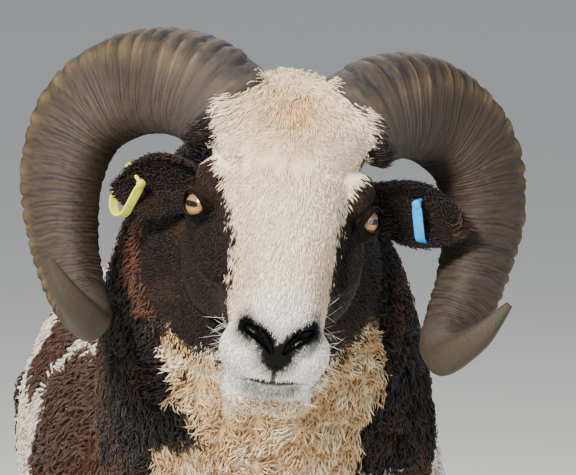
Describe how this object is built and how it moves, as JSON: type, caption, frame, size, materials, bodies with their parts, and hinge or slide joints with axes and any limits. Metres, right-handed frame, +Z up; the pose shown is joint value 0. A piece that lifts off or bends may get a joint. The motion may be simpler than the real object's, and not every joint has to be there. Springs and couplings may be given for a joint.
{
  "type": "jacob sheep",
  "caption": "Life-size standing ram with a clumped fleece, two ribbed curled horns, cloven hooves and a tag in each ear.",
  "frame": {"origin": "on the floor under the middle of the whole ram's box", "axes": "+Z up, the ram faces -Y, its own left side is +X"},
  "size_m": [0.5052, 1.2778, 1.0289],
  "materials": {
    "fleece": "matte",
    "dark_wool": "matte",
    "face_hair": "matte",
    "leg_hair": "matte",
    "ear_hair": "matte",
    "horn": "satin",
    "hoof": "satin",
    "eye": "gloss",
    "yellow_tag": "satin",
    "blue_tag": "satin"
  },
  "bodies": {
    "root": {"claw_fore_left_inner": "hoof", "claw_fore_left_outer": "hoof", "claw_fore_right_inner": "hoof", "claw_fore_right_outer": "hoof", "claw_hind_left_inner": "hoof", "claw_hind_left_outer": "hoof", "claw_hind_right_inner": "hoof", "claw_hind_right_outer": "hoof", "dewclaw_fore_left_inner": "hoof", "dewclaw_fore_left_outer": "hoof", "dewclaw_fore_right_inner": "hoof", "dewclaw_fore_right_outer": "hoof", "dewclaw_hind_left_inner": "hoof", "dewclaw_hind_left_outer": "hoof", "dewclaw_hind_right_inner": "hoof", "dewclaw_hind_right_outer": "hoof", "ear_left": "ear_hair", "ear_right": "ear_hair", "eye_left": "eye", "eye_right": "eye", "foreleg_left": "leg_hair", "foreleg_right": "leg_hair", "head": "face_hair", "hindleg_left": "leg_hair", "hindleg_right": "leg_hair", "horn_left": "horn", "horn_right": "horn", "neck": "dark_wool", "tag_left": "blue_tag", "tag_right": "yellow_tag", "tail": "fleece", "torso": "fleece"}
  },
  "joints": []
}
